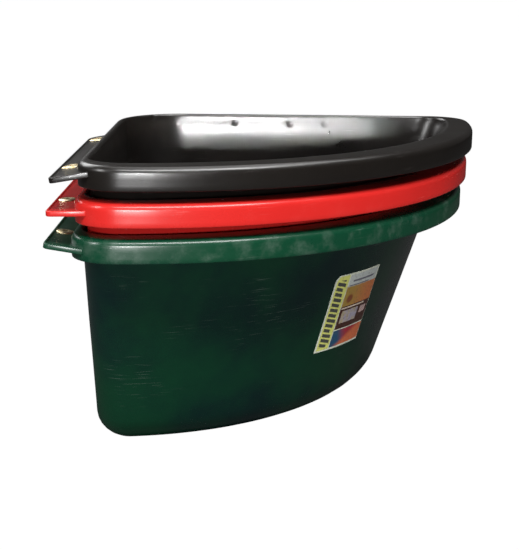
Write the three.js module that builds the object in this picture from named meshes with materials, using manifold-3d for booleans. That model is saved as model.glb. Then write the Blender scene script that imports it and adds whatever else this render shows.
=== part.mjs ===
// Three quarter-round corner feeders for a stable, nested in each other.
//
// Each feeder is one plastic moulding: a deep tub with two straight wall sides that meet
// in a rounded corner, a curved front that leans in towards the floor, a wide rim with a
// turned-down skirt, and a flat mounting ear along each wall side. Two brass grommets, an
// eyelet and a washer each, line the screw holes of each ear. The lowest feeder carries
// a label on its front.
//
// Millimetres. X runs to the right along the back wall, Y away from whoever stands in
// front of the feeder, and Z up. The origin is under the middle of the nest, at the floor.

import * as THREE from "three";
import { mergeVertices } from "three/addons/utils/BufferGeometryUtils.js";
import Module from "manifold-3d";

// ---------------------------------------------------------------- driving dimensions

// Rim
const LEG = 457; // wall corner to either end of the rim
const RIM_HEIGHT = 25; // rim top to the bottom of the skirt
const RIM_FRONT_WIDTH = 26; // flat top of the rim along the curved front
const RIM_WALL_WIDTH = 7.5; // flat top of the rim along a wall side
const RIM_END_RADIUS = 48; // the two far corners, seen from above
const RIM_CENTRE = 48; // centre of the rim's front arc, from the two wall planes
const RIM_CORNER_RADIUS = 84; // the corner that goes into the wall corner
const RIM_EDGE_RADIUS = 7; // outer top edge, in section
const LIP_RADIUS = 5; // inner top edge, in section

// Tub
const WALL = 4.7; // thickness of the plastic
const HEIGHT = 266; // rim top to the underside of the floor
const TUB_END_RADIUS = 38; // the tub's two far corners just under the rim
const TUB_CORNER_RADIUS = 76; // the tub's corner towards the wall corner
const FRONT_CENTRE = 12; // centre of the tub's front arc, from the two wall planes
const FRONT_LEAN = 78; // how far the front leans in from the skirt's level to the floor
const WALL_LEAN = 1; // how far each wall side leans in over the same height
const FLOOR_RADIUS = 35; // outer edge of the floor, in section

// Nest
const NEST_GAP = 0.4; // clearance between one tub and the next

// Mounting ears
const EAR_WIDTH = 25; // out from the skirt
const EAR_THICKNESS = 4.5;
const EAR_START = 12; // from the rim's far end to the near end of the ear
const EAR_LENGTH = 298;
const EAR_DROP = 11; // rim top down to the ear's top face
const EAR_TIP_RADIUS = 12;
const HOLE_RADIUS = 6.2;
const HOLE_INSET = 13; // hole centre from the ear's outer edge
const FIRST_HOLE = 68; // hole centre from the near end of the ear
const HOLE_SPACING = 205;

// Grommets
const GROMMET_RADIUS = 10.4;
const GROMMET_FLANGE = 1.2; // thickness of the eyelet's flange
const WASHER_THICKNESS = 0.9;
const BARREL_WALL = 0.8;
const FIT_GAP = 0.3; // clearance between pieces that are pressed together

// Label
const LABEL_WIDTH = 85; // round the front
const LABEL_HEIGHT = 105; // up the lean front
const LABEL_THICKNESS = 0.5;
const LABEL_DROP = 76; // rim top down to the label's upper edge
const LABEL_ANGLE = -40.2; // degrees round the front arc, from its right-hand end

// Fineness of the curves
const END_STEPS = 6;
const FRONT_STEPS = 20;
const CORNER_STEPS = 6;
const FLOOR_STEPS = 4;
const EDGE_STEPS = 3;
const ROUND_STEPS = 12;

// ---------------------------------------------------------------- what follows from them

const ROOT2 = Math.sqrt(2);
const TUB_DEPTH = HEIGHT - RIM_HEIGHT;
const frontSlope = FRONT_LEAN / TUB_DEPTH;
const wallSlope = WALL_LEAN / TUB_DEPTH;
const frontWall = WALL * Math.hypot(1, frontSlope); // the wall's thickness, cut level
const sideWall = WALL * Math.hypot(1, wallSlope);

// The tub hangs from the inner edge of the rim. These are the distances of its outer
// face from the rim's outer edge, at the level of the skirt's bottom.
const lipToSkirt = RIM_HEIGHT - LIP_RADIUS; // down the inside of the rim
const tubFrontInset = RIM_FRONT_WIDTH + LIP_RADIUS - frontWall + lipToSkirt * frontSlope;
const tubWallInset = RIM_WALL_WIDTH + LIP_RADIUS - sideWall + lipToSkirt * wallSlope;

// Each feeder sits as deep in the next as its walls let it, moved a little away from
// the wall corner, so that one gap runs all the way round.
const nestStep = (frontWall + NEST_GAP + ROOT2 * (sideWall + NEST_GAP))
  / (frontSlope + ROOT2 * wallSlope);
const nestShift = sideWall + NEST_GAP - nestStep * wallSlope;

const FEEDERS = [
  { name: "green", color: 0x0f3b28, level: 0 },
  { name: "red", color: 0xe4322c, level: 1 },
  { name: "black", color: 0x16130f, level: 2 },
];
const BRASS = 0xd9c27a;

const wasm = await Module();
wasm.setup();

// ---------------------------------------------------------------- the outline in plan

function arcPoints(cx, cy, radius, from, to, steps) {
  const points = [];
  for (let i = 0; i <= steps; i++) {
    const angle = from + (to - from) * i / steps;
    points.push([cx + radius * Math.cos(angle), cy + radius * Math.sin(angle)]);
  }
  return points;
}

// The wall corner of the rim is at 0, 0 and the walls are the lines x = 0 and y = 0.
// wall and front are distances in from the rim's outer edge, centre places the front arc.
function outline({ wall, front, centre, end, corner }) {
  const radius = LEG - front - centre;
  const arcCentre = Math.min(centre, wall + end);
  const frontRadius = radius + centre - arcCentre;
  const across = wall + end - arcCentre;
  const along = Math.sqrt((frontRadius - end) ** 2 - across ** 2);
  const meet = Math.atan2(-along, across);
  const nearEnd = arcPoints(wall + end, -arcCentre - along, end, -Math.PI, meet, END_STEPS);
  const curve = arcPoints(arcCentre, -arcCentre, frontRadius, meet, -Math.PI / 2 - meet, FRONT_STEPS);
  const farEnd = nearEnd.map(([x, y]) => [-y, -x]).reverse();
  const back = arcPoints(wall + corner, -wall - corner, corner, Math.PI / 2, Math.PI, CORNER_STEPS);
  return [...nearEnd, ...curve.slice(1, -1), ...farEnd, ...back];
}

// A shape part of the way from one to another.
function between(from, to, part) {
  const mix = (key) => from[key] + (to[key] - from[key]) * part;
  return {
    wall: mix("wall"), front: mix("front"), centre: mix("centre"),
    end: mix("end"), corner: mix("corner"),
  };
}

// An outline moved inwards by the same distance all round.
function inset(shape, by) {
  return {
    wall: shape.wall + by,
    front: shape.front + by,
    centre: shape.centre,
    end: shape.end - by,
    corner: shape.corner - by,
  };
}

const rimShape = {
  wall: 0, front: 0, centre: RIM_CENTRE, end: RIM_END_RADIUS, corner: RIM_CORNER_RADIUS,
};

// The inner edge of the rim's flat top.
const mouthShape = {
  wall: RIM_WALL_WIDTH,
  front: RIM_FRONT_WIDTH,
  centre: RIM_CENTRE,
  end: RIM_END_RADIUS - RIM_WALL_WIDTH,
  corner: RIM_CORNER_RADIUS - RIM_WALL_WIDTH,
};

// The tub's outer face at a depth below the rim's top.
function tubShape(depth) {
  const below = depth - RIM_HEIGHT;
  return {
    wall: tubWallInset + below * wallSlope,
    front: tubFrontInset + below * frontSlope,
    centre: FRONT_CENTRE,
    end: TUB_END_RADIUS,
    corner: TUB_CORNER_RADIUS,
  };
}

// The tub's inner face at a depth below the rim's top.
function cavityShape(depth) {
  const outer = tubShape(depth);
  return {
    wall: outer.wall + sideWall,
    front: outer.front + frontWall,
    centre: FRONT_CENTRE,
    end: outer.end - WALL,
    corner: outer.corner - WALL,
  };
}

// ---------------------------------------------------------------- solids

function geometryFrom(positions, triangles) {
  const geometry = new THREE.BufferGeometry();
  geometry.setAttribute("position", new THREE.Float32BufferAttribute(positions, 3));
  geometry.setIndex(triangles);
  return geometry;
}

// A closed solid through a list of level outlines, from its lower end to its upper end
// along the skin. Each outline has the same number of points.
function loft(rings) {
  const count = rings[0].points.length;
  const positions = [];
  const triangles = [];
  for (const { points, z } of rings) {
    for (const [x, y] of points) positions.push(x, y, z);
  }
  for (let i = 0; i + 1 < rings.length; i++) {
    for (let j = 0; j < count; j++) {
      const next = (j + 1) % count;
      const [a, b] = [i * count + j, i * count + next];
      triangles.push(a, b, b + count, a, b + count, a + count);
    }
  }
  const middle = ({ points, z }) => [
    points.reduce((sum, p) => sum + p[0], 0) / count,
    points.reduce((sum, p) => sum + p[1], 0) / count,
    z,
  ];
  positions.push(...middle(rings[0]), ...middle(rings.at(-1)));
  const bottom = rings.length * count;
  const last = (rings.length - 1) * count;
  for (let j = 0; j < count; j++) {
    const next = (j + 1) % count;
    triangles.push(bottom, next, j, bottom + 1, last + j, last + next);
  }
  return geometryFrom(positions, triangles);
}

function toManifold(geometry) {
  const bare = geometry.clone();
  bare.deleteAttribute("normal");
  bare.deleteAttribute("uv");
  const merged = mergeVertices(bare, 1e-4);
  return new wasm.Manifold(new wasm.Mesh({
    numProp: 3,
    vertProperties: new Float32Array(merged.attributes.position.array),
    triVerts: new Uint32Array(merged.index.array),
  }));
}

function fromManifold(solid) {
  const mesh = solid.getMesh();
  return geometryFrom(Array.from(mesh.vertProperties), Array.from(mesh.triVerts));
}

// The tub with its rim, as one skin from the middle of the floor's underside, up the
// outside, round the rim, down the inside and across the floor.
function tubGeometry() {
  const rings = [];
  const add = (shape, depth) => rings.push({ points: outline(shape), z: -depth });
  const quarter = (steps) => Array.from({ length: steps + 1 }, (_, i) => Math.PI / 2 * i / steps);
  const floorEdge = quarter(FLOOR_STEPS);
  // outside, from the floor's edge up to the underside of the rim
  for (const angle of [...floorEdge].reverse()) {
    const level = HEIGHT - FLOOR_RADIUS * (1 - Math.sin(angle));
    add(inset(tubShape(level), FLOOR_RADIUS * (1 - Math.cos(angle))), level);
  }
  add(tubShape(RIM_HEIGHT), RIM_HEIGHT);
  add(tubShape(WALL), WALL);
  // under the rim, then down the inside of the skirt
  const skirtInside = inset(rimShape, WALL);
  add(inset(rimShape, RIM_EDGE_RADIUS), WALL);
  add(skirtInside, RIM_EDGE_RADIUS);
  add(skirtInside, RIM_HEIGHT);
  // the outside of the skirt and the rounded edge above it
  add(rimShape, RIM_HEIGHT);
  for (const angle of quarter(EDGE_STEPS)) {
    const reach = RIM_EDGE_RADIUS * (1 - Math.cos(angle));
    add(inset(rimShape, reach), RIM_EDGE_RADIUS * (1 - Math.sin(angle)));
  }
  // the rim's flat top, its rounded inner edge and the inside of the tub
  const lip = cavityShape(LIP_RADIUS);
  for (const angle of quarter(EDGE_STEPS).reverse()) {
    add(between(mouthShape, lip, Math.cos(angle)), LIP_RADIUS * (1 - Math.sin(angle)));
  }
  const innerRadius = FLOOR_RADIUS - WALL;
  const innerFloor = HEIGHT - WALL;
  for (const angle of floorEdge) {
    const level = innerFloor - innerRadius * (1 - Math.sin(angle));
    add(inset(cavityShape(level), innerRadius * (1 - Math.cos(angle))), level);
  }
  return loft(rings);
}

// One ear as a flat plate along the wall side x = 0, reaching into the skirt, with its
// two screw holes.
function earSolid() {
  const near = -LEG + EAR_START;
  const far = near + EAR_LENGTH;
  const out = -EAR_WIDTH;
  const root = WALL / 2;
  const r = EAR_TIP_RADIUS;
  const plate = new THREE.Shape();
  plate.moveTo(root, far);
  plate.lineTo(out + r, far);
  plate.absarc(out + r, far - r, r, Math.PI / 2, Math.PI, false);
  plate.lineTo(out, near + r / 2);
  plate.absarc(out + r / 2, near + r / 2, r / 2, Math.PI, 1.5 * Math.PI, false);
  plate.lineTo(RIM_END_RADIUS / 3, near);
  plate.lineTo(RIM_END_RADIUS / 3, near + RIM_END_RADIUS / 3);
  plate.lineTo(root, near + RIM_END_RADIUS);
  for (const [x, y] of holeCentres()) {
    const hole = new THREE.Path();
    hole.absarc(x, y, HOLE_RADIUS, 0, 2 * Math.PI, true);
    plate.holes.push(hole);
  }
  const geometry = new THREE.ExtrudeGeometry(plate, {
    depth: EAR_THICKNESS, bevelEnabled: false, curveSegments: ROUND_STEPS / 2,
  });
  geometry.translate(0, 0, -EAR_DROP - EAR_THICKNESS);
  return geometry;
}

// The centres of one ear's holes, on the wall side x = 0.
function holeCentres() {
  const x = -EAR_WIDTH + HOLE_INSET;
  const first = -LEG + EAR_START + FIRST_HOLE;
  return [[x, first], [x, first + HOLE_SPACING]];
}

// The matching point or solid on the other wall side.
const mirrorPoint = ([x, y]) => [-y, -x];
function mirrorSolid(geometry) {
  const flipped = geometry.clone();
  const position = flipped.attributes.position;
  for (let i = 0; i < position.count; i++) {
    position.setXY(i, -position.getY(i), -position.getX(i));
  }
  const index = flipped.index ? Array.from(flipped.index.array)
    : Array.from({ length: position.count }, (_, i) => i);
  for (let i = 0; i < index.length; i += 3) [index[i], index[i + 1]] = [index[i + 1], index[i]];
  flipped.setIndex(index);
  return flipped;
}

function shellGeometry() {
  const tub = toManifold(tubGeometry());
  const ear = earSolid();
  return fromManifold(tub.add(toManifold(ear)).add(toManifold(mirrorSolid(ear))));
}

// A closed ring turned about the vertical through 0, 0.
function ring(profile) {
  const points = [...profile, profile[0]].map(([r, z]) => new THREE.Vector2(r, z));
  const turned = new THREE.LatheGeometry(points, ROUND_STEPS).rotateX(Math.PI / 2);
  return fromManifold(toManifold(turned));
}

// The upper half of a grommet: a domed flange on the ear, a barrel down through the hole
// and a foot curled out under the washer. Height 0 is the ear's top face.
function eyeletGeometry() {
  const barrel = HOLE_RADIUS - FIT_GAP;
  const bore = barrel - BARREL_WALL;
  const under = -EAR_THICKNESS - 2 * FIT_GAP - WASHER_THICKNESS;
  const foot = under - FIT_GAP;
  return ring([
    [bore, foot - BARREL_WALL],
    [barrel + 2, foot - BARREL_WALL],
    [barrel + 2, foot],
    [barrel, foot],
    [barrel, FIT_GAP],
    [GROMMET_RADIUS, FIT_GAP],
    [GROMMET_RADIUS - 1, FIT_GAP + GROMMET_FLANGE],
    [bore + 1, FIT_GAP + GROMMET_FLANGE],
    [bore, GROMMET_FLANGE / 2],
  ]);
}

// The lower half: a flat ring between the ear and the eyelet's curled foot.
function washerGeometry() {
  const top = -EAR_THICKNESS - FIT_GAP;
  const inner = HOLE_RADIUS;
  return ring([
    [inner, top - WASHER_THICKNESS],
    [GROMMET_RADIUS - 1, top - WASHER_THICKNESS],
    [GROMMET_RADIUS - 1, top],
    [inner, top],
  ]);
}

// The label: a thin plate bent round the lean front, a fit gap clear of it.
function labelGeometry() {
  const steps = 8;
  const rows = 3;
  const positions = [];
  const triangles = [];
  const midAngle = LABEL_ANGLE * Math.PI / 180;
  const place = (u, v, lift) => {
    const depth = LABEL_DROP + v / Math.hypot(1, frontSlope);
    const shape = tubShape(depth);
    const radius = LEG - shape.front - shape.centre + lift * Math.hypot(1, frontSlope);
    const angle = midAngle + u / radius;
    return [
      shape.centre + radius * Math.cos(angle),
      -shape.centre + radius * Math.sin(angle),
      -depth,
    ];
  };
  const index = (side, i, j) => side * (steps + 1) * (rows + 1) + j * (steps + 1) + i;
  for (const lift of [FIT_GAP, FIT_GAP + LABEL_THICKNESS]) {
    for (let j = 0; j <= rows; j++) {
      for (let i = 0; i <= steps; i++) {
        positions.push(...place(LABEL_WIDTH * (i / steps - 0.5), LABEL_HEIGHT * j / rows, lift));
      }
    }
  }
  for (let j = 0; j < rows; j++) {
    for (let i = 0; i < steps; i++) {
      const inner = [index(0, i, j), index(0, i + 1, j), index(0, i + 1, j + 1), index(0, i, j + 1)];
      const outer = [index(1, i, j), index(1, i, j + 1), index(1, i + 1, j + 1), index(1, i + 1, j)];
      for (const [a, b, c, d] of [inner, outer]) triangles.push(a, b, c, a, c, d);
    }
  }
  const edge = [];
  for (let i = 0; i < steps; i++) edge.push([i, 0]);
  for (let j = 0; j < rows; j++) edge.push([steps, j]);
  for (let i = steps; i > 0; i--) edge.push([i, rows]);
  for (let j = rows; j > 0; j--) edge.push([0, j]);
  edge.forEach(([i, j], k) => {
    const [ni, nj] = edge[(k + 1) % edge.length];
    const [a, b] = [index(0, i, j), index(0, ni, nj)];
    const [c, d] = [index(1, ni, nj), index(1, i, j)];
    triangles.push(a, c, b, a, d, c);
  });
  return geometryFrom(positions, triangles);
}

// ---------------------------------------------------------------- the nest

function piece(name, geometry, color, roughness, metalness) {
  const material = new THREE.MeshStandardMaterial({ color, roughness, metalness });
  const mesh = new THREE.Mesh(geometry, material);
  mesh.name = name;
  return mesh;
}

const nest = new THREE.Group();
const shell = shellGeometry();
const eyelet = eyeletGeometry();
const washer = washerGeometry();

for (const { name, color, level } of FEEDERS) {
  const feeder = new THREE.Group();
  feeder.position.set(level * nestShift, -level * nestShift, level * nestStep);
  feeder.add(piece(`${name}_feeder_shell`, shell, color, 0.35, 0));
  const sides = { left: holeCentres(), back: holeCentres().map(mirrorPoint) };
  for (const [side, centres] of Object.entries(sides)) {
    centres.forEach(([x, y], i) => {
      const which = `${name}_${side}_${i === 0 ? "outer" : "inner"}`;
      const parts = [
        piece(`${which}_eyelet`, eyelet, BRASS, 0.35, 1),
        piece(`${which}_washer`, washer, BRASS, 0.4, 1),
      ];
      for (const part of parts) {
        part.position.set(x, y, -EAR_DROP);
        feeder.add(part);
      }
    });
  }
  if (level === 0) feeder.add(piece("green_front_label", labelGeometry(), 0xe0c040, 0.5, 0));
  nest.add(feeder);
}

// The origin goes under the middle of the nest, at the lowest floor.
const top = (FEEDERS.length - 1) * nestShift;
const low = [-EAR_WIDTH, -LEG - top];
const high = [LEG + top, EAR_WIDTH];
nest.position.set(-(low[0] + high[0]) / 2, -(low[1] + high[1]) / 2, HEIGHT);

const object = new THREE.Group();
object.add(nest);

export default object;
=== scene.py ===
"""A nest of three corner feeders, moulded in black, red and green plastic.

Each feeder is a quarter-round tub under a wide rim with a turned-down skirt. A flat ear runs
along each wall side, with two brass grommets for screws. The green feeder carries a printed
label. Lengths are worked out in millimetres and drawn in metres.
"""
import math

import bmesh
import bpy
from mathutils import Matrix, Vector


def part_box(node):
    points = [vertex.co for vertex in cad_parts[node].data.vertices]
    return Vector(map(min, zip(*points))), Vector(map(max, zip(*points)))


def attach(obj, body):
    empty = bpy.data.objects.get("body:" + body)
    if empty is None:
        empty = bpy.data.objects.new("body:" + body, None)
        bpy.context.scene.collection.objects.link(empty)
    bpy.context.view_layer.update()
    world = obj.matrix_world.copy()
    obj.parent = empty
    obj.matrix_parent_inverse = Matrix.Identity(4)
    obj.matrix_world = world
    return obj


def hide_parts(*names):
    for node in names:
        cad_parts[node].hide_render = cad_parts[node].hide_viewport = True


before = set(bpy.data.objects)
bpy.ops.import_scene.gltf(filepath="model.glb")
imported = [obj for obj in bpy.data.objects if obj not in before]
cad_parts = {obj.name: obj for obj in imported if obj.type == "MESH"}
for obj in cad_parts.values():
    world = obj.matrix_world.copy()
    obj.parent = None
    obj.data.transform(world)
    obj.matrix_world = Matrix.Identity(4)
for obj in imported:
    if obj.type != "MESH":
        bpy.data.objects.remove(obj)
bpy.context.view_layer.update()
bpy.ops.object.select_all(action="DESELECT")

MM = 0.001
HAIRLINE = 0.02 * MM  # corners closer than this are one corner

# ------------------------------------------------------------------ sizes, in millimetres

LEG = 457
HEIGHT = 266
WALL = 4.7
PLASTIC = 4.3  # thickness as moulded here, so that nested tubs stay clear
RIM_HEIGHT = 25
RIM_FRONT_WIDTH = 26
RIM_WALL_WIDTH = 7.5
RIM_END_RADIUS = 48
RIM_CENTRE = 48
RIM_CORNER_RADIUS = 84
RIM_EDGE_RADIUS = 7
LIP_RADIUS = 5
FLARE = 2.8  # how far the inside opens out towards the lip
FLARE_DEPTH = 34
TUB_END_RADIUS = 38
TUB_CORNER_RADIUS = 76
FRONT_CENTRE = 12
FRONT_LEAN = 78
WALL_LEAN = 1
FLOOR_RADIUS = 35

EAR_WIDTH = 25
EAR_THICKNESS = 4.5
EAR_START = 12
EAR_LENGTH = 298
EAR_DROP = 11
EAR_TIP_RADIUS = 12
EAR_BEAD_WIDTH = 2.0
EAR_BEAD_HEIGHT = 1.2
HOLE_RADIUS = 6.2
HOLE_INSET = 13
FIRST_HOLE = 68
HOLE_SPACING = 205

GROMMET_RADIUS = 10.4
GROMMET_BORE = 5.1
BARREL_RADIUS = 5.9

LABEL_WIDTH = 85
LABEL_HEIGHT = 105
LABEL_DROP = 76
LABEL_ANGLE = -40.2
LABEL_LIFT = 0.35

END_STEPS = 10
FRONT_STEPS = 56
CORNER_STEPS = 16
STRAIGHT_STEPS = 26

TUB_DEPTH = HEIGHT - RIM_HEIGHT
FRONT_SLOPE = FRONT_LEAN / TUB_DEPTH
WALL_SLOPE = WALL_LEAN / TUB_DEPTH
FRONT_WALL = WALL * math.hypot(1, FRONT_SLOPE)
SIDE_WALL = WALL * math.hypot(1, WALL_SLOPE)
# the tub's outer face at the bottom of the skirt, in from the rim's outline
TUB_FRONT_INSET = (RIM_FRONT_WIDTH + LIP_RADIUS - FRONT_WALL
                   + (RIM_HEIGHT - LIP_RADIUS) * FRONT_SLOPE)
TUB_WALL_INSET = (RIM_WALL_WIDTH + LIP_RADIUS - SIDE_WALL
                  + (RIM_HEIGHT - LIP_RADIUS) * WALL_SLOPE)

# How far each feeder's ears are sprung up or down, in degrees
EAR_LIFT = {"green": 9, "red": -1, "black": -10}
COLOURS = ("green", "red", "black")


# ------------------------------------------------------------------ the outline in plan

def plan(wall, front, centre, end, corner):
    """A level outline: its distance in at the walls and front, and its radii."""
    return {"wall": wall, "front": front, "centre": centre, "end": end, "corner": corner}


def inset(shape, by):
    """The outline moved in by the same distance all round."""
    return plan(shape["wall"] + by, shape["front"] + by, shape["centre"],
                shape["end"] - by, shape["corner"] - by)


def between(start, stop, part):
    """An outline part of the way from one to another."""
    return {key: start[key] + (stop[key] - start[key]) * part for key in start}


RIM = plan(0, 0, RIM_CENTRE, RIM_END_RADIUS, RIM_CORNER_RADIUS)
MOUTH = plan(RIM_WALL_WIDTH, RIM_FRONT_WIDTH, RIM_CENTRE,
             RIM_END_RADIUS - RIM_WALL_WIDTH, RIM_CORNER_RADIUS - RIM_WALL_WIDTH)


def tub_plan(depth):
    """The tub's outer face at a depth below the rim's top."""
    below = depth - RIM_HEIGHT
    return plan(TUB_WALL_INSET + below * WALL_SLOPE, TUB_FRONT_INSET + below * FRONT_SLOPE,
                FRONT_CENTRE, TUB_END_RADIUS, TUB_CORNER_RADIUS)


def cavity_plan(depth):
    """The tub's inner face at a depth below the rim's top."""
    outer = tub_plan(depth)
    inner = plan(outer["wall"] + SIDE_WALL, outer["front"] + FRONT_WALL, FRONT_CENTRE,
                 outer["end"] - WALL, outer["corner"] - WALL)
    rise = max(0, (FLARE_DEPTH - depth) / (FLARE_DEPTH - LIP_RADIUS))
    return inset(inner, -FLARE * rise ** 2)


# ------------------------------------------------------------------ modelling helpers

def start_piece(name):
    """A new piece with an empty mesh, open in edit mode."""
    bpy.ops.object.select_all(action="DESELECT")
    bpy.ops.mesh.primitive_plane_add(size=MM)
    piece = bpy.context.object
    piece.name = piece.data.name = name
    bpy.ops.object.mode_set(mode="EDIT")
    bpy.ops.mesh.select_mode(type="VERT")
    bpy.ops.mesh.delete(type="VERT")
    return piece


def finish_editing():
    bpy.ops.object.mode_set(mode="OBJECT")


def put_point(x, y, z):
    """One loose, selected vertex in the mesh being edited."""
    bpy.ops.mesh.select_all(action="DESELECT")
    bpy.ops.mesh.primitive_plane_add(size=MM, location=(x * MM, y * MM, z * MM))
    bpy.ops.mesh.merge(type="CENTER")


def draw_arc(cx, cy, turn, steps):
    """Carry the selected vertex anticlockwise round a centre, drawing an edge a step."""
    bpy.ops.mesh.spin(steps=steps, angle=-turn, center=(cx * MM, cy * MM, 0), axis=(0, 0, 1))


def draw_straight(dx, dy, steps):
    """Carry the selected vertex along a straight line."""
    for _ in range(steps):
        bpy.ops.mesh.extrude_region_move(
            TRANSFORM_OT_translate={"value": (dx * MM / steps, dy * MM / steps, 0)})


def pick(piece, kind, wanted):
    """Select only the vertices, edges or faces that wanted() accepts."""
    mesh = bmesh.from_edit_mesh(piece.data)
    bpy.ops.mesh.select_mode(type={"verts": "VERT", "edges": "EDGE", "faces": "FACE"}[kind])
    bpy.ops.mesh.select_all(action="DESELECT")
    mesh = bmesh.from_edit_mesh(piece.data)
    count = 0
    for element in getattr(mesh, kind):
        if wanted(element):
            element.select_set(True)
            count += 1
    mesh.select_flush_mode()
    bmesh.update_edit_mesh(piece.data)
    return count


def only(piece):
    """Make this the one selected, active object."""
    bpy.ops.object.select_all(action="DESELECT")
    piece.select_set(True)
    bpy.context.view_layer.objects.active = piece


def modify(piece, kind, **settings):
    """Add one modifier and apply it."""
    only(piece)
    modifier = piece.modifiers.new(kind.title(), kind)
    for key, value in settings.items():
        setattr(modifier, key, value)
    bpy.ops.object.modifier_apply(modifier=modifier.name)


def face_outwards(piece):
    """Turn every face of a closed piece outwards."""
    only(piece)
    bpy.ops.object.mode_set(mode="EDIT")
    bpy.ops.mesh.select_all(action="SELECT")
    bpy.ops.mesh.normals_make_consistent(inside=False)
    finish_editing()


def clean(piece):
    """Close up the hairline faces that a cut or a join can leave."""
    only(piece)
    bpy.ops.object.mode_set(mode="EDIT")
    bpy.ops.mesh.select_all(action="SELECT")
    bpy.ops.mesh.remove_doubles(threshold=HAIRLINE)
    bpy.ops.mesh.dissolve_degenerate(threshold=HAIRLINE)
    finish_editing()


def smooth(piece, degrees=32):
    only(piece)
    bpy.ops.object.shade_smooth_by_angle(angle=math.radians(degrees))


def copy_of(piece, name, move):
    """A copy with its own mesh, moved by a vector or a matrix."""
    twin = piece.copy()
    twin.data = piece.data.copy()
    twin.name = twin.data.name = name
    bpy.context.collection.objects.link(twin)
    twin.data.transform(move if isinstance(move, Matrix) else Matrix.Translation(move))
    if isinstance(move, Matrix) and move.determinant() < 0:
        twin.data.flip_normals()
    return twin


def put_away(piece):
    bpy.data.objects.remove(piece, do_unlink=True)


# The other wall side: x and y change places across the wall corner's diagonal.
OTHER_SIDE = Matrix(((0, -1, 0, 0), (-1, 0, 0, 0), (0, 0, 1, 0), (0, 0, 0, 1)))


# ------------------------------------------------------------------ the moulded shell

def draw_ring(shape, depth):
    """Draw one level outline as a closed loop of edges."""
    wall, end, corner = shape["wall"], shape["end"], shape["corner"]
    arc_centre = min(shape["centre"], wall + end)
    front_radius = LEG - shape["front"] - arc_centre
    across = wall + end - arc_centre
    along = math.sqrt((front_radius - end) ** 2 - across ** 2)
    meet = math.atan2(-along, across)
    far = arc_centre + along
    put_point(wall, -far, -depth)
    draw_arc(wall + end, -far, math.pi + meet, END_STEPS)
    draw_arc(arc_centre, -arc_centre, -math.pi / 2 - 2 * meet, FRONT_STEPS)
    draw_arc(far, -wall - end, math.pi + meet, END_STEPS)
    draw_straight(-(far - wall - corner), 0, STRAIGHT_STEPS)
    draw_arc(wall + corner, -wall - corner, math.pi / 2, CORNER_STEPS)
    step = (far - wall - corner) / STRAIGHT_STEPS
    draw_straight(0, -(far - wall - corner) + step, STRAIGHT_STEPS - 1)


RING_POINTS = 2 * END_STEPS + FRONT_STEPS + CORNER_STEPS + 2 * STRAIGHT_STEPS


def close_ring(piece, first):
    """Join the last vertex of the ring that starts at index first to its first one."""
    last = first + RING_POINTS - 1
    pick(piece, "verts", lambda vert: vert.index in (first, last))
    bpy.ops.mesh.edge_face_add()


def bridge(piece, first, second):
    """A band of faces between two rings, by the index that each starts at."""
    starts = (first, second)
    pick(piece, "verts", lambda vert: any(s <= vert.index < s + RING_POINTS for s in starts))
    bpy.ops.mesh.bridge_edge_loops()


def skin_levels():
    """The sheet's outlines, from the floor's edge up the inside, over the rim and down."""
    def steps(count, low=0.0, high=1.0):
        return [low + (high - low) * i / count for i in range(count + 1)]

    levels = []
    inner_radius = FLOOR_RADIUS - WALL
    inner_floor = HEIGHT - WALL
    for part in steps(7):
        angle = math.pi / 2 * (1 - part)
        depth = inner_floor - inner_radius * (1 - math.sin(angle))
        levels.append((inset(cavity_plan(depth), inner_radius * (1 - math.cos(angle))), depth))
    for depth in steps(13, inner_floor - inner_radius, FLARE_DEPTH)[1:]:
        levels.append((cavity_plan(depth), depth))
    for depth in steps(5, FLARE_DEPTH, LIP_RADIUS)[1:]:
        levels.append((cavity_plan(depth), depth))
    lip = cavity_plan(LIP_RADIUS)
    for part in steps(5)[1:]:
        angle = math.pi / 2 * part
        levels.append((between(MOUTH, lip, math.cos(angle)), LIP_RADIUS * (1 - math.sin(angle))))
    rim_edge = inset(RIM, RIM_EDGE_RADIUS)
    levels.append((between(MOUTH, rim_edge, 0.5), 0))
    for part in steps(6):
        angle = math.pi / 2 * (1 - part)
        reach = RIM_EDGE_RADIUS * (1 - math.cos(angle))
        levels.append((inset(RIM, reach), RIM_EDGE_RADIUS * (1 - math.sin(angle))))
    for depth in steps(3, RIM_EDGE_RADIUS, RIM_HEIGHT)[1:]:
        levels.append((RIM, depth))
    return levels


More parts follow.
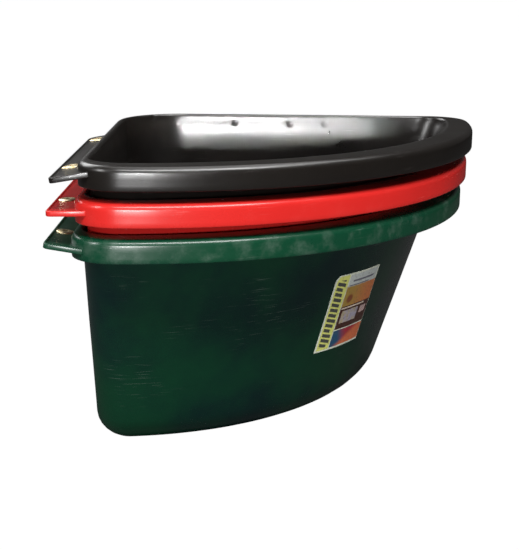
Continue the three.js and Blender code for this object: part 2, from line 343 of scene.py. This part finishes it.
def make_tub():
    """The tub and rim: one sheet, thickened on the side that is not seen from above."""
    tub = start_piece("feeder_tub")
    levels = skin_levels()
    for number, (shape, depth) in enumerate(levels):
        draw_ring(shape, depth)
        close_ring(tub, number * RING_POINTS)
    for number in range(len(levels) - 1):
        bridge(tub, number * RING_POINTS, (number + 1) * RING_POINTS)
    # the floor, as rings drawn in to its middle
    middle = (LEG * 0.40 * MM, -LEG * 0.40 * MM, -(HEIGHT - WALL) * MM)
    pick(tub, "verts", lambda vert: vert.index < RING_POINTS)
    for shrink in (0.82, 0.78, 0.72, 0.62, 0.45):
        bpy.ops.mesh.extrude_region_move(TRANSFORM_OT_translate={"value": (0, 0, 0)})
        bpy.ops.transform.resize(value=(shrink, shrink, 1), center_override=middle)
    bpy.ops.mesh.extrude_region_move(TRANSFORM_OT_translate={"value": (0, 0, 0)})
    bpy.ops.mesh.merge(type="CENTER")
    bpy.ops.mesh.select_all(action="SELECT")
    bpy.ops.mesh.remove_doubles(threshold=HAIRLINE)
    bpy.ops.mesh.normals_make_consistent(inside=False)
    finish_editing()
    floor = min(tub.data.polygons, key=lambda face: face.center.z)
    if floor.normal.z < 0:
        tub.data.flip_normals()
    warp_walls(tub)
    modify(tub, "SOLIDIFY", thickness=PLASTIC * MM, offset=-1, use_even_offset=True)
    bpy.ops.object.mode_set(mode="EDIT")
    bottom = -RIM_HEIGHT * MM
    pick(tub, "edges", lambda edge: all(abs(v.co.z - bottom) < 0.0004 for v in edge.verts)
         and edge.calc_face_angle(0) > 0.8)
    bpy.ops.mesh.bevel(offset=1.1 * MM, segments=3, affect="EDGES")
    finish_editing()
    return tub


def warp_walls(tub):
    """The slight unevenness of a large moulding, on the tub's walls and floor only."""
    group = tub.vertex_groups.new(name="walls")
    inner = [v.index for v in tub.data.vertices
             if v.co.z < -12 * MM and v.co.x > 2 * MM and v.co.y < -2 * MM
             and math.hypot(v.co.x - RIM_CENTRE * MM, v.co.y + RIM_CENTRE * MM)
             < (LEG - RIM_CENTRE - RIM_FRONT_WIDTH + 4) * MM]
    group.add(inner, 1.0, "REPLACE")
    clouds = bpy.data.textures.new("uneven", "CLOUDS")
    clouds.noise_scale = 0.075
    clouds.noise_depth = 1
    modify(tub, "DISPLACE", texture=clouds, texture_coords="LOCAL", strength=0.6 * MM,
           mid_level=0.5, vertex_group="walls")


def hole_centres():
    """The centres of one ear's holes, on the wall side x = 0."""
    first = -LEG + EAR_START + FIRST_HOLE
    return [(-EAR_WIDTH + HOLE_INSET, first), (-EAR_WIDTH + HOLE_INSET, first + HOLE_SPACING)]


def make_ear():
    """One ear along the wall side x = 0: a plate with a low bead round it and two holes."""
    near = -LEG + EAR_START
    far = near + EAR_LENGTH
    out = -EAR_WIDTH
    root = WALL / 2
    tip, toe = EAR_TIP_RADIUS, EAR_TIP_RADIUS / 2
    top = -EAR_DROP + EAR_BEAD_HEIGHT
    ear = start_piece("feeder_ear")
    put_point(root, far, top)
    draw_straight(out + tip - root, 0, 1)
    draw_arc(out + tip, far - tip, math.pi / 2, 8)
    draw_straight(0, near + toe - far + tip, 12)
    draw_arc(out + toe, near + toe, math.pi / 2, 6)
    draw_straight(RIM_END_RADIUS / 3 - out - toe, 0, 1)
    draw_straight(0, RIM_END_RADIUS / 3, 1)
    draw_straight(root - RIM_END_RADIUS / 3, RIM_END_RADIUS * 2 / 3, 1)
    last = len(bmesh.from_edit_mesh(ear.data).verts) - 1
    pick(ear, "verts", lambda vert: vert.index in (0, last))
    bpy.ops.mesh.edge_face_add()
    bpy.ops.mesh.select_all(action="SELECT")
    bpy.ops.mesh.extrude_region_move(
        TRANSFORM_OT_translate={"value": (0, 0, -(EAR_THICKNESS + EAR_BEAD_HEIGHT) * MM)})
    for level in (top, -EAR_DROP - EAR_THICKNESS):
        pick(ear, "edges", lambda edge: all(abs(v.co.z / MM - level) < 0.1 for v in edge.verts))
        bpy.ops.mesh.edge_face_add()
    bpy.ops.mesh.select_all(action="SELECT")
    bpy.ops.mesh.normals_make_consistent(inside=False)
    pick(ear, "faces", lambda face: face.normal.z > 0.9
         and face.calc_center_median().z > (top - 0.1) * MM)
    bpy.ops.mesh.inset(thickness=EAR_BEAD_WIDTH * MM, depth=0)
    bpy.ops.mesh.inset(thickness=0.8 * MM, depth=-EAR_BEAD_HEIGHT * MM)
    finish_editing()
    modify(ear, "BEVEL", width=0.9 * MM, segments=3, limit_method="ANGLE",
           angle_limit=math.radians(40))
    for x, y in hole_centres():
        bpy.ops.mesh.primitive_cylinder_add(vertices=40, radius=HOLE_RADIUS * MM, depth=30 * MM,
                                            location=(x * MM, y * MM, -EAR_DROP * MM))
        drill = bpy.context.object
        modify(ear, "BOOLEAN", operation="DIFFERENCE", object=drill, solver="EXACT")
        put_away(drill)
    clean(ear)
    return ear


def ear_spring(colour):
    """The turn of a left ear about its root, where it joins the skirt."""
    root = Matrix.Translation((0, 0, -(EAR_DROP + EAR_THICKNESS / 2) * MM))
    return root @ Matrix.Rotation(math.radians(EAR_LIFT[colour]), 4, "Y") @ root.inverted()


def make_shell(colour, tub, ear):
    """One feeder's moulding: the tub with its two ears, at the wall corner's place."""
    shell = copy_of(tub, f"{colour}_shell", Matrix.Identity(4))
    spring = ear_spring(colour)
    for turn in (spring, OTHER_SIDE @ spring):
        part = copy_of(ear, "ear_part", turn)
        modify(shell, "BOOLEAN", operation="UNION", object=part, solver="EXACT")
        put_away(part)
    clean(shell)
    shell.data.transform(Matrix.Translation(wall_corner(colour)))
    smooth(shell)
    return shell


# ------------------------------------------------------------------ grommets

def turn_ring(name, profile, points=40):
    """A closed ring about the vertical through the origin, from its profile's corners."""
    piece = start_piece(name)
    radius, height = profile[0]
    bpy.ops.mesh.primitive_circle_add(vertices=points, radius=radius * MM, fill_type="NOTHING",
                                      location=(0, 0, height * MM))
    for next_radius, next_height in profile[1:]:
        bpy.ops.mesh.extrude_region_move(
            TRANSFORM_OT_translate={"value": (0, 0, (next_height - height) * MM)})
        grow = next_radius / radius
        bpy.ops.transform.resize(value=(grow, grow, 1), center_override=(0, 0, 0))
        radius, height = next_radius, next_height
    pick(piece, "edges", lambda edge: edge.is_boundary)
    bpy.ops.mesh.bridge_edge_loops()
    finish_editing()
    face_outwards(piece)
    return piece


def make_eyelet():
    """A domed flange on the ear, a barrel through it and a foot curled out below."""
    under = -EAR_THICKNESS - 1.5
    dome = [(GROMMET_RADIUS - 5.4 + 5.3 * math.sin(a), 0.1 + 1.6 * math.cos(a))
            for a in (math.radians(d) for d in (88, 70, 52, 34, 16, 0, -18, -34))]
    profile = [(BARREL_RADIUS, under + 0.2), (BARREL_RADIUS, 0.1),
               (GROMMET_RADIUS - 0.6, 0.05)] + dome
    profile += [(GROMMET_BORE + 0.35, 0.6), (GROMMET_BORE, -0.4), (GROMMET_BORE, under - 0.2),
                (GROMMET_BORE + 0.5, under - 0.95), (GROMMET_BORE + 1.6, under - 1.1),
                (BARREL_RADIUS + 1.8, under - 0.9), (BARREL_RADIUS + 2, under - 0.4),
                (BARREL_RADIUS + 1.4, under - 0.15), (BARREL_RADIUS + 0.4, under)]
    eyelet = turn_ring("eyelet", profile)
    modify(eyelet, "SUBSURF", levels=1, render_levels=1)
    smooth(eyelet, 50)
    return eyelet


def make_washer():
    """A thin dished ring between the ear and the eyelet's curled foot."""
    top = -EAR_THICKNESS - 0.15
    outer = GROMMET_RADIUS - 1
    washer = turn_ring("washer", [
        (HOLE_RADIUS, top - 0.2), (HOLE_RADIUS, top - 1.1), (HOLE_RADIUS + 0.4, top - 1.25),
        (outer - 0.7, top - 1.0), (outer, top - 0.7), (outer, top - 0.25),
        (outer - 0.3, top - 0.05), (HOLE_RADIUS + 0.5, top - 0.05)])
    smooth(washer, 40)
    return washer


# ------------------------------------------------------------------ the label

def make_label(shell, corner):
    """A printed film on the lean front, with one rounded corner, drawn on flat then laid on."""
    columns, rows = 34, 42
    bpy.ops.object.select_all(action="DESELECT")
    bpy.ops.mesh.primitive_grid_add(x_subdivisions=columns, y_subdivisions=rows, size=1)
    label = bpy.context.object
    label.name = label.data.name = "green_front_label_print"
    lean = math.atan(FRONT_SLOPE)
    angle = math.radians(LABEL_ANGLE)
    depth = LABEL_DROP + LABEL_HEIGHT / 2 * math.cos(lean)
    radius = LEG - tub_plan(depth)["front"] - FRONT_CENTRE
    # the film's own plane: across the front, up the slope, and out from it
    out = Vector((math.cos(angle) * math.cos(lean), math.sin(angle) * math.cos(lean),
                  -math.sin(lean)))
    across = Vector((-math.sin(angle), math.cos(angle), 0))
    up = out.cross(across)
    centre = Vector((FRONT_CENTRE + radius * math.cos(angle),
                     -FRONT_CENTRE + radius * math.sin(angle), -depth)) * MM + corner
    size = Matrix.Diagonal((LABEL_WIDTH * MM, LABEL_HEIGHT * MM, 1, 1))
    turn = Matrix((across, up, out)).transposed().to_4x4()
    bpy.ops.object.mode_set(mode="EDIT")
    round_corner(label)
    finish_editing()
    label.data.transform(Matrix.Translation(centre + out * 4 * MM) @ turn @ size)
    modify(label, "SHRINKWRAP", target=shell, wrap_method="NEAREST_SURFACEPOINT",
           wrap_mode="ABOVE_SURFACE", offset=LABEL_LIFT * MM)
    modify(label, "SOLIDIFY", thickness=0.3 * MM, offset=-1)
    smooth(label, 40)
    return label


def round_corner(label):
    """Draw in the film's top left corner to a radius of a few millimetres."""
    radius = 9.0
    middle = (-0.5 + radius / LABEL_WIDTH, 0.5 - radius / LABEL_HEIGHT)
    mesh = bmesh.from_edit_mesh(label.data)
    for vert in mesh.verts:
        dx = (vert.co.x - middle[0]) * LABEL_WIDTH
        dy = (vert.co.y - middle[1]) * LABEL_HEIGHT
        if dx < 0 < dy:
            square = max(-dx, dy)
            reach = math.hypot(dx, dy)
            pull = square / reach
            vert.co.x = middle[0] + dx * pull / LABEL_WIDTH
            vert.co.y = middle[1] + dy * pull / LABEL_HEIGHT
    bmesh.update_edit_mesh(label.data)


# ------------------------------------------------------------------ shader maths

class Amount:
    """A number that varies over a surface, so that sums on it read as sums."""

    def __init__(self, finish, socket):
        self.finish, self.socket = finish, socket

    def maths(self, operation, *values, clamp=False):
        inputs = {0: self.socket}
        inputs.update({i + 1: value for i, value in enumerate(values)})
        return self.finish.add("ShaderNodeMath", {"operation": operation, "use_clamp": clamp},
                               inputs)

    def __add__(self, other):
        return self.maths("ADD", other)

    __radd__ = __add__

    def __mul__(self, other):
        return self.maths("MULTIPLY", other)

    __rmul__ = __mul__

    def __sub__(self, other):
        return self.maths("SUBTRACT", other)

    def __rsub__(self, other):
        return (self * -1) + other

    def __truediv__(self, other):
        return self.maths("DIVIDE", other)

    def __gt__(self, other):
        return self.maths("GREATER_THAN", other)

    def __lt__(self, other):
        return self.maths("LESS_THAN", other)

    def __pow__(self, other):
        return self.maths("POWER", other)

    def kept(self):
        """Kept between 0 and 1."""
        return self.maths("ADD", 0.0, clamp=True)

    def ramp(self, low, high):
        """0 below low, 1 above high, eased in between."""
        return self.finish.add("ShaderNodeMapRange", {"interpolation_type": "SMOOTHSTEP"},
                               {"Value": self, "From Min": low, "From Max": high})


class Finish:
    """A material, built one node at a time."""

    def __init__(self, name):
        self.material = bpy.data.materials.new(name)
        self.material.use_nodes = True
        self.tree = self.material.node_tree
        self.tree.nodes.clear()
        self.output = self.tree.nodes.new("ShaderNodeOutputMaterial")

    def add(self, kind, settings=None, inputs=None, output=0):
        """Add a node: its type, its settings, then values or links for its sockets."""
        node = self.tree.nodes.new(kind)
        for key, value in (settings or {}).items():
            if key == "stops":
                ramp = node.color_ramp
                while len(ramp.elements) < len(value):
                    ramp.elements.new(0.5)
                for element, (place, colour) in zip(ramp.elements, value):
                    element.position, element.color = place, (*colour, 1)
            else:
                setattr(node, key, value)
        for key, value in (inputs or {}).items():
            socket = node.inputs[key]
            source = value.socket if isinstance(value, Amount) else value
            if isinstance(source, bpy.types.NodeSocket):
                self.tree.links.new(source, socket)
            elif isinstance(source, tuple) and len(source) == 3 and socket.type == "RGBA":
                socket.default_value = (*source, 1)
            else:
                socket.default_value = source
        return Amount(self, node.outputs[output])

    def place(self, scale=(1, 1, 1), turn=(0, 0, 0), shift=(0, 0, 0)):
        """Object coordinates, stretched, turned and shifted."""
        where = self.add("ShaderNodeTexCoord", output="Object")
        return self.add("ShaderNodeMapping", {}, {"Vector": where, "Scale": scale,
                                                  "Rotation": turn, "Location": shift})

    def noise(self, where, scale, detail=2.0, rough=0.5, **extra):
        return self.add("ShaderNodeTexNoise", {}, {"Vector": where, "Scale": scale,
                                                   "Detail": detail, "Roughness": rough, **extra})

    def mix(self, part, first, second):
        """One colour turning into another as part goes from 0 to 1."""
        return self.add("ShaderNodeMix", {"data_type": "RGBA"},
                        {0: part, 6: first, 7: second}, output=2)

    def bump(self, height, distance, strength=1.0, after=None):
        inputs = {"Height": height, "Distance": distance, "Strength": strength}
        if after is not None:
            inputs["Normal"] = after
        return self.add("ShaderNodeBump", {}, inputs)

    def shade(self, constants=None, **changing):
        """The Principled shader, with set values and with what changes over the surface."""
        inputs = {key.replace("_", " ").title().replace("Ior", "IOR"): value
                  for key, value in changing.items()}
        inputs.update(constants or {})
        shader = self.add("ShaderNodeBsdfPrincipled", {}, inputs)
        self.tree.links.new(shader.socket, self.output.inputs["Surface"])
        return self.material


# ------------------------------------------------------------------ finishes

def moulded_plastic(name, feeder, colour, deep, bloom, roughness, seed,
                    gloss=0.5, skirt=1.0, worn=0.0, dinged=0.0):
    """Glossy moulded plastic: uneven colour, pale bloom, fine scratches, slow waves.

    skirt is how much brighter the rim and its skirt are painted than the tub, painted light
    that stands in for the stronger light on the upright rim than on the leaning tub it shades,
    worn how much of the rim is rubbed pale by handling, and dinged how deep the small dents
    near the top of the back wall are, in metres.
    """
    finish = Finish(name)
    _, back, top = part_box(f"{feeder}_feeder_shell")[1]
    here = finish.place(shift=(seed, seed * 0.7, 0))
    broad = finish.noise(here, 7.0, 3.0)
    mottle = finish.noise(here, 55.0, 4.0, 0.6)
    grain = finish.noise(here, 900.0, 2.0)
    tone = (broad * 0.85 + mottle * 0.15).ramp(0.30, 0.68)
    body = finish.mix(tone, deep, colour)
    spot = finish.add("ShaderNodeTexCoord", output="Object")
    height = finish.add("ShaderNodeSeparateXYZ", {}, {0: spot}, output=2)
    backwards = finish.add("ShaderNodeSeparateXYZ", {}, {0: spot}, output=1)
    rim = height.ramp(top - (RIM_HEIGHT + 3) * MM, top - (RIM_HEIGHT - 4) * MM)
    # painted light: the rim and its skirt are painted brighter than the tub, standing in for the
    # stronger light on them than on the leaning tub in their shade
    rim_painted_light_colour = tuple(part * skirt for part in colour)
    body = finish.mix(rim * 0.75, body, rim_painted_light_colour)
    # scratches in two directions, broken up in patches
    patches = finish.noise(here, 16.0, 2.0).ramp(0.50, 0.72)
    level = finish.noise(finish.place(scale=(22, 22, 900), shift=(seed, 0, 0)), 1.0, 2.0, 0.4)
    slant = finish.noise(finish.place(scale=(30, 30, 1100), turn=(0.5, 0.9, 0)), 1.0, 2.0, 0.4)
    scratches = ((level.ramp(0.66, 0.72) + slant.ramp(0.68, 0.74)) * patches).kept()
    rubbed = finish.noise(here, 38.0, 5.0, 0.65).ramp(0.46, 0.82)
    pale = (scratches * 0.16 + rubbed * rim * worn).kept()
    body = finish.mix(pale, body, bloom)
    rough = roughness + (broad - 0.5) * 0.10 + (mottle - 0.5) * 0.04 + pale * 0.30
    waves = finish.bump(finish.noise(here, 11.0, 1.0), 0.0035, 0.55)
    ripples = finish.bump(finish.noise(here, 40.0, 1.0), 0.00030, 0.5, after=waves)
    peel = finish.bump(grain, 0.00003, 0.4, after=ripples)
    surface = finish.bump(scratches, -0.00012, 0.5, after=peel)
    if dinged:
        along = finish.place(turn=(math.pi / 2, 0, 0), shift=(seed, 0, 0))
        cells = finish.add("ShaderNodeTexVoronoi", {"voronoi_dimensions": "2D"},
                           {"Vector": along, "Scale": 14.0})
        against = backwards.ramp(back - 0.055, back - 0.045)
        upper = height.ramp(top - 0.085, top - 0.060)
        dents = (1 - cells.ramp(0.0, 0.085)) * against * upper
        surface = finish.bump(dents, -dinged, 1.0, after=surface)
    return finish.shade({"IOR": 1.49, "Specular IOR Level": gloss}, base_color=body,
                        roughness=rough.kept(), normal=surface)


def pressed_brass():
    """Pale pressed brass, duller and darker in patches."""
    finish = Finish("grommet_brass")
    here = finish.place()
    broad = finish.noise(here, 140.0, 3.0)
    fine = finish.noise(here, 900.0, 3.0)
    tarnish = broad.ramp(0.45, 0.70)
    body = finish.mix(tarnish, (0.86, 0.74, 0.48), (0.55, 0.43, 0.22))
    rough = (0.30 + tarnish * 0.16 + (fine - 0.5) * 0.15).kept()
    pitted = finish.bump(fine, 0.00008, 0.5)
    return finish.shade({}, base_color=body, metallic=1.0, roughness=rough, normal=pitted)


def printed_film():
    """The label's print: a yellow strip with plain dark bars, and blocks of colour."""
    finish = Finish("label_print")
    spot = finish.add("ShaderNodeTexCoord", output="UV")
    parts = finish.add("ShaderNodeSeparateXYZ", {}, {0: spot})
    across = parts
    up = Amount(finish, parts.socket.node.outputs[1])

    def block(left, right, low, high):
        return (across > left) * (across < right) * (up > low) * (up < high)

    paper, cream = (0.72, 0.78, 0.66), (0.80, 0.72, 0.55)
    ink, yellow = (0.012, 0.014, 0.05), (0.72, 0.74, 0.20)
    fuzz = finish.noise(spot, 9.0, 4.0, 0.6)
    print_colour = finish.mix(fuzz * 0.3, paper, cream)
    # the strip down the left, with slanted bars of uneven length
    strip = block(0.03, 0.285, 0.02, 0.985)
    print_colour = finish.mix(strip, print_colour, yellow)
    slant = up * 15.0 + across * 3.4
    step = slant.maths("FLOOR")
    part = slant - step
    length = finish.add("ShaderNodeTexWhiteNoise", {"noise_dimensions": "1D"}, {"W": step})
    bars = (part > 0.34) * (across > 0.06) * (across < 0.20 + length * 0.06)
    bars = bars * (up > 0.05) * (up < 0.93)
    print_colour = finish.mix(bars * 0.92, print_colour, ink)
    # the head panel: pale, with two plain dark rules
    rules = block(0.40, 0.90, 0.875, 0.90) + block(0.34, 0.80, 0.825, 0.84)
    print_colour = finish.mix(block(0.31, 0.97, 0.80, 0.975), print_colour, (0.56, 0.60, 0.58))
    print_colour = finish.mix(rules * 0.8, print_colour, (0.06, 0.05, 0.10))
    # the main panel: gold turning to orange, with a soft brown disc
    gold = finish.mix(across.ramp(0.35, 0.95), (0.40, 0.25, 0.05), (0.62, 0.19, 0.06))
    print_colour = finish.mix(block(0.30, 0.995, 0.56, 0.82), print_colour, gold)
    disc = (((across - 0.44) * 0.81) ** 2.0 + (up - 0.655) ** 2.0).maths("SQRT")
    print_colour = finish.mix((1 - disc.ramp(0.035, 0.075)) * 0.9, print_colour, (0.22, 0.05, 0.02))
    # the middle panel: dark brown, with a pale block in it
    print_colour = finish.mix(block(0.30, 0.995, 0.26, 0.56), print_colour, (0.06, 0.016, 0.010))
    print_colour = finish.mix(block(0.32, 0.86, 0.525, 0.545), print_colour, (0.75, 0.62, 0.50))
    print_colour = finish.mix(block(0.36, 0.74, 0.335, 0.50), print_colour,
                              finish.mix(fuzz.ramp(0.4, 0.6), (0.40, 0.36, 0.46),
                                         (0.46, 0.38, 0.26)))
    print_colour = finish.mix(block(0.80, 0.95, 0.40, 0.49), print_colour, (0.55, 0.38, 0.36))
    # the foot panel: blue running into red, orange below
    foot = finish.mix((across + up * 0.6).ramp(0.50, 0.74), (0.015, 0.08, 0.17), (0.40, 0.02, 0.04))
    foot = finish.mix((across * 0.5 - up).ramp(0.13, 0.24), foot, (0.66, 0.16, 0.06))
    print_colour = finish.mix(block(0.30, 0.995, 0.025, 0.245), print_colour, foot)
    crease = finish.bump(finish.noise(spot, 5.0, 3.0), 0.0006, 0.5)
    scuffed = finish.noise(spot, 26.0, 3.0).ramp(0.50, 0.72) * 0.4
    print_colour = finish.mix(scuffed, print_colour, (0.13, 0.10, 0.08))
    return finish.shade({"Coat Weight": 0.25}, base_color=print_colour,
                        roughness=(0.36 + fuzz * 0.15).kept(), normal=crease)


# ------------------------------------------------------------------ making the nest

PLASTICS = {
    "black": moulded_plastic("black_plastic", "black", (0.0058, 0.0046, 0.0038),
                             (0.0035, 0.0030, 0.0028), (0.20, 0.19, 0.18), 0.30, 0.3,
                             dinged=0.0007),
    # red and green: skirt paints light onto the rim, brighter than the tub below it
    "red": moulded_plastic("red_plastic", "red", (0.36, 0.012, 0.010), (0.31, 0.009, 0.008),
                           (0.80, 0.34, 0.30), 0.26, 1.7, gloss=0.36, skirt=1.3, worn=0.02),
    "green": moulded_plastic("green_plastic", "green", (0.0018, 0.029, 0.0125),
                             (0.0012, 0.010, 0.0105), (0.26, 0.32, 0.28), 0.28, 3.1,
                             gloss=0.42, skirt=1.35, worn=0.16),
}
BRASS = pressed_brass()


def give(piece, material):
    piece.data.materials.clear()
    piece.data.materials.append(material)


def wall_corner(colour):
    """Where a feeder's wall corner is, at its rim's top, from its place in the frame."""
    low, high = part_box(f"{colour}_feeder_shell")
    return Vector((low[0] + EAR_WIDTH * MM, high[1] - EAR_WIDTH * MM, high[2]))


def build_nest():
    tub, ear = make_tub(), make_ear()
    eyelet, washer = make_eyelet(), make_washer()
    for colour in COLOURS:
        corner = Matrix.Translation(wall_corner(colour))
        body = f"{colour}_feeder"
        shell = make_shell(colour, tub, ear)
        give(shell, PLASTICS[colour])
        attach(shell, body)
        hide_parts(f"{colour}_feeder_shell")
        for side, across in (("left", Matrix.Identity(4)), ("back", OTHER_SIDE)):
            for spot, (x, y) in zip(("outer", "inner"), hole_centres()):
                seat = Matrix.Translation(Vector((x, y, -EAR_DROP)) * MM)
                move = corner @ across @ ear_spring(colour) @ seat
                for kind, source in (("eyelet", eyelet), ("washer", washer)):
                    piece = copy_of(source, f"{colour}_{side}_{spot}_brass_{kind}", move)
                    give(piece, BRASS)
                    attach(piece, body)
                    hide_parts(f"{colour}_{side}_{spot}_{kind}")
        if colour == "green":
            label = make_label(shell, wall_corner(colour))
            give(label, printed_film())
            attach(label, body)
            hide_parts("green_front_label")
    for source in (tub, ear, eyelet, washer):
        put_away(source)


build_nest()


# ------------------------------------------------------------------ floor, light and camera

def make_stage():
    """A white floor to look at, which throws little light back at the nest."""
    bpy.ops.mesh.primitive_plane_add(size=40, location=(0, 0, 0))
    floor = bpy.context.object
    floor.name = floor.data.name = "studio_floor"
    finish = Finish("pale_floor")
    pale = finish.add("ShaderNodeBsdfDiffuse", {}, {"Color": (0.045, 0.045, 0.045)})
    glow = finish.add("ShaderNodeEmission", {}, {"Color": (1, 1, 1), "Strength": 1.06})
    seen = finish.add("ShaderNodeLightPath", output="Is Camera Ray")
    both = finish.add("ShaderNodeMixShader", {}, {0: seen * 0.95, 1: pale, 2: glow})
    finish.tree.links.new(both.socket, finish.output.inputs["Surface"])
    give(floor, finish.material)


def softbox(name, azimuth, elevation, distance, width, height, power, aim=(0, 0, 0.22),
            spread=180):
    """A rectangular soft light, placed round the nest by compass angle and height angle."""
    light = bpy.data.lights.new(name, "AREA")
    light.shape = "RECTANGLE"
    light.size, light.size_y = width, height
    light.energy = power
    light.spread = math.radians(spread)
    lamp = bpy.data.objects.new(name, light)
    lamp.visible_camera = False
    bpy.context.collection.objects.link(lamp)
    az, el = math.radians(azimuth), math.radians(elevation)
    aim = Vector(aim)
    way = Vector((math.cos(el) * math.cos(az), math.cos(el) * math.sin(az), math.sin(el)))
    lamp.location = aim + way * distance
    lamp.rotation_euler = way.to_track_quat("Z", "Y").to_euler()


def make_lights():
    """Eight soft lights: compass angle, height angle, distance, width, height, watts."""
    softbox("key", -76, 52, 2.2, 1.6, 0.30, 66)
    softbox("front", -96, 4, 3.0, 0.45, 0.26, 70)
    softbox("right_edge", 12, 60, 2.2, 0.4, 0.9, 6)
    softbox("right_front", -38, 58, 2.2, 0.9, 0.4, 18)
    softbox("left_edge", -148, 30, 2.2, 0.4, 0.7, 20)
    softbox("overhead", 40, 80, 2.4, 2.0, 2.0, 34)
    # a narrow beam over the front rim, for the sheen inside the top feeder's back wall
    softbox("gridded_strip", -93, 5.5, 1.5, 0.34, 0.045, 0.07,
            aim=(-0.04, 0.23, 0.324), spread=4)
    softbox("back_fill", 135, 35, 2.6, 1.6, 1.0, 36)
    world = bpy.data.worlds.new("studio")
    bpy.context.scene.world = world
    world.use_nodes = True
    nodes, links = world.node_tree.nodes, world.node_tree.links
    nodes.clear()
    output = nodes.new("ShaderNodeOutputWorld")
    surround = nodes.new("ShaderNodeBackground")
    surround.inputs["Color"].default_value = (1, 1, 1, 1)
    path = nodes.new("ShaderNodeLightPath")
    level = nodes.new("ShaderNodeMapRange")
    level.inputs["To Min"].default_value = 0.05
    level.inputs["To Max"].default_value = 1.0
    links.new(path.outputs["Is Camera Ray"], level.inputs["Value"])
    links.new(level.outputs["Result"], surround.inputs["Strength"])
    links.new(surround.outputs[0], output.inputs["Surface"])


def make_camera():
    yaw, pitch, roll = -0.0016, 0.25, 0.0101
    ahead = Vector((math.sin(yaw) * math.cos(pitch), math.cos(yaw) * math.cos(pitch),
                    -math.sin(pitch)))
    right = Vector((math.cos(yaw), -math.sin(yaw), 0))
    up = right.cross(ahead)
    side = right * math.cos(roll) + up * math.sin(roll)
    top = up * math.cos(roll) - right * math.sin(roll)
    lens = bpy.data.cameras.new("camera")
    lens.lens = 78.68
    lens.sensor_width = 36
    lens.sensor_fit = "AUTO"
    camera = bpy.data.objects.new("camera", lens)
    bpy.context.collection.objects.link(camera)
    turn = Matrix((side, top, -ahead)).transposed().to_4x4()
    camera.matrix_world = Matrix.Translation((-0.02286, -1.4117, 0.53238)) @ turn
    bpy.context.scene.camera = camera


make_stage()
make_lights()
make_camera()
bpy.context.scene.view_settings.view_transform = "Standard"
